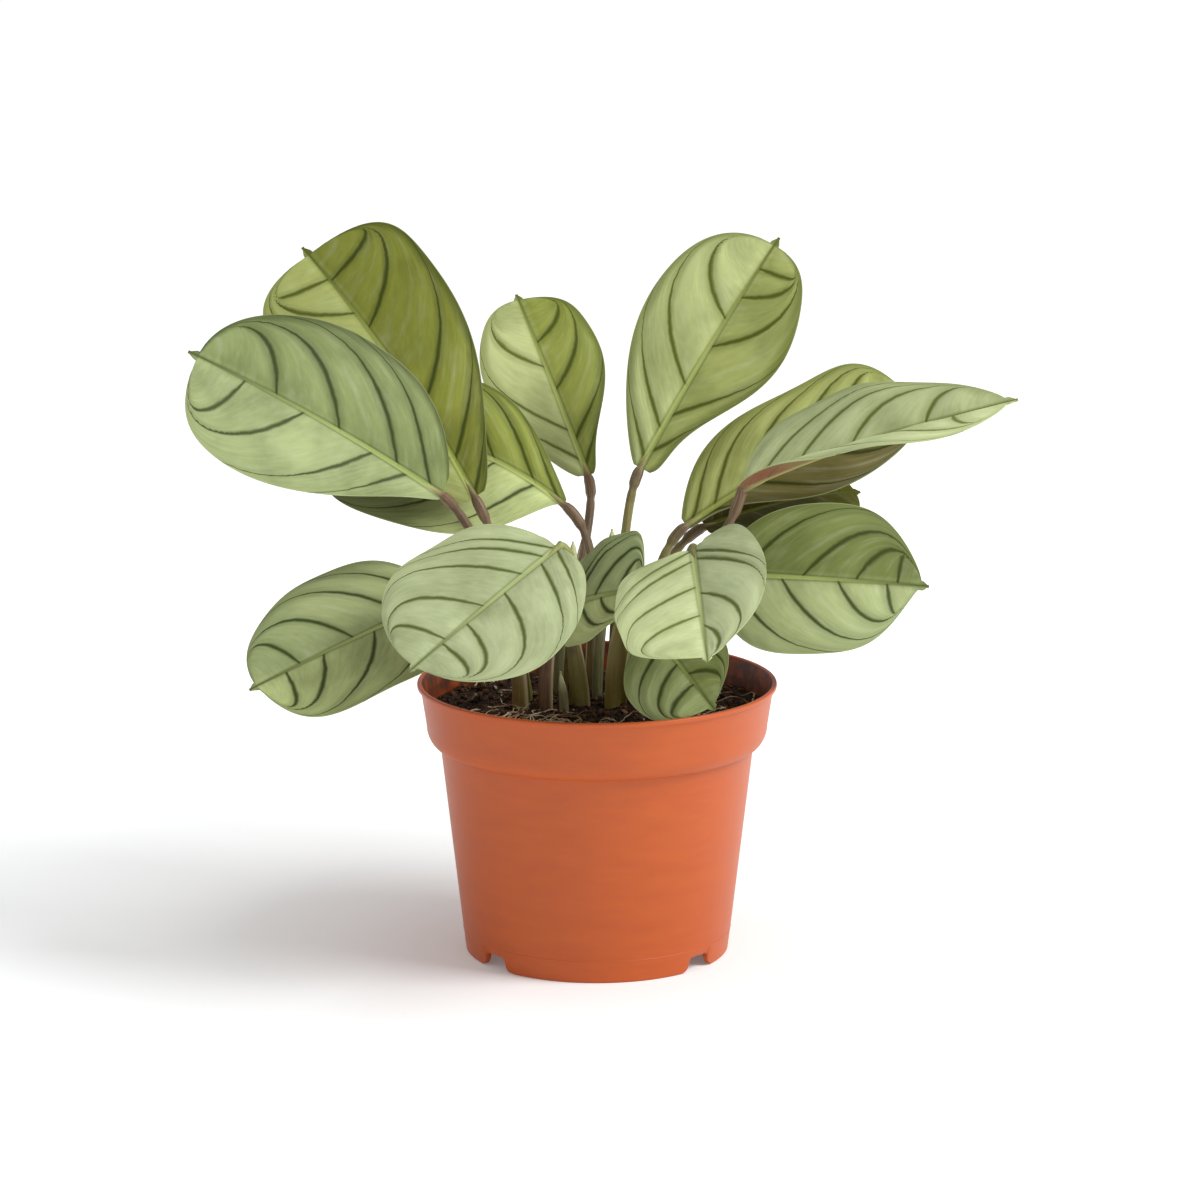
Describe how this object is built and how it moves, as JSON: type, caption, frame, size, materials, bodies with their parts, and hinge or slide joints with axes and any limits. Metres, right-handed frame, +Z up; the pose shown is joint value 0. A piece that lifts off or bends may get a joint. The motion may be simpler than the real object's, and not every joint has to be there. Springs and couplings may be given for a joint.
{
  "type": "potted ctenanthe",
  "caption": "Potted ctenanthe house plant: oval silvery green leaves with dark feathered veins on slender stalks, in soil in a round tapered plastic nursery pot.",
  "frame": {"origin": "on the pot's axis, on the surface that the pot stands on", "axes": "+Z up along the pot's axis, the plant's front towards -Y, +X to the viewer's right"},
  "size_m": [0.2656, 0.1904, 0.2364],
  "materials": {
    "terracotta_plastic": "satin moulded polypropylene, terracotta coloured",
    "potting_soil": null,
    "leaf_silver": "living leaf, silvery green with dark veins, satin",
    "leaf_olive": "living leaf, yellow green with dark veins, satin",
    "leaf_deep": "living leaf, deep green with dark veins, satin",
    "stalk_brown": "living stalk, brown purple, finely downy",
    "stalk_olive": "living stalk, olive green, smooth",
    "pale_shoot": "young rolled leaf or dry sheath, pale"
  },
  "bodies": {
    "root": {"pot": "terracotta_plastic", "potting_soil": "potting_soil", "blade_back_left": "leaf_olive", "stalk_back_left": "stalk_brown", "blade_left": "leaf_silver", "stalk_left": "stalk_brown", "blade_inner_left": "leaf_silver", "stalk_inner_left": "stalk_brown", "blade_back": "leaf_olive", "stalk_back": "stalk_brown", "blade_back_right": "leaf_silver", "stalk_back_right": "stalk_olive", "blade_right_rear": "leaf_silver", "stalk_right_rear": "stalk_olive", "blade_right_front": "leaf_silver", "stalk_right_front": "stalk_brown", "blade_right_low": "leaf_deep", "stalk_right_low": "stalk_olive", "blade_front_right": "leaf_silver", "stalk_front_right": "stalk_olive", "blade_centre_small": "leaf_deep", "stalk_centre_small": "stalk_olive", "blade_front_left": "leaf_silver", "stalk_front_left": "stalk_brown", "blade_left_low": "leaf_silver", "stalk_left_low": "stalk_olive", "blade_rim": "leaf_deep", "stalk_rim": "stalk_olive", "blade_right_inner": "leaf_olive", "stalk_right_inner": "stalk_olive", "rolled_leaf_right": "pale_shoot", "rolled_leaf_left": "pale_shoot", "papery_sheath": "pale_shoot"}
  },
  "joints": []
}
